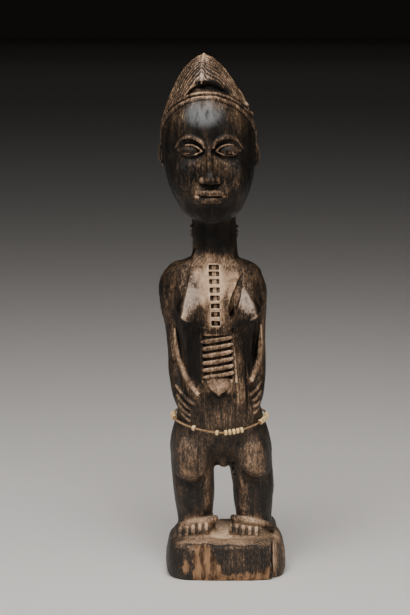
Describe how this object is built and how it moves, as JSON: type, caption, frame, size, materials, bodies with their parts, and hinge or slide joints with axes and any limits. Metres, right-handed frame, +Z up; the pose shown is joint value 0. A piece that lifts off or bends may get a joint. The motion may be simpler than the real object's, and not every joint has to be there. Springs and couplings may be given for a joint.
{
  "type": "carved wooden figure",
  "caption": "Standing carved wooden woman with her hands on her belly and crested hair, a beaded string round the hips, on a low block base.",
  "frame": {"origin": "middle of the base's flat underside", "axes": "+Z up from the base to the crest of the hair, -Y out of the face, +X to the figure's left hand"},
  "size_m": [0.0989, 0.0815, 0.4],
  "materials": {
    "dark_wood": "dark handled patina, glossy on the forehead, worn brown on ridges, bare tan wood where chipped",
    "string": "twisted plant fibre, matte",
    "cream_glass": "opaque cream glass, semi-gloss"
  },
  "bodies": {
    "root": {"figure": "dark_wood", "waist_string": "string", "string_knot": "string", "bead_01": "cream_glass", "bead_02": "cream_glass", "bead_03": "cream_glass", "bead_04": "cream_glass", "bead_05": "cream_glass", "bead_06": "cream_glass", "bead_07": "cream_glass", "bead_08": "cream_glass", "bead_09": "cream_glass", "bead_10": "cream_glass", "bead_11": "cream_glass", "bead_12": "cream_glass", "bead_13": "cream_glass", "bead_14": "cream_glass", "bead_15": "cream_glass", "bead_16": "cream_glass", "bead_17": "cream_glass", "bead_18": "cream_glass", "bead_19": "cream_glass", "bead_20": "cream_glass", "bead_21": "cream_glass", "bead_22": "cream_glass", "bead_23": "cream_glass"}
  },
  "joints": []
}
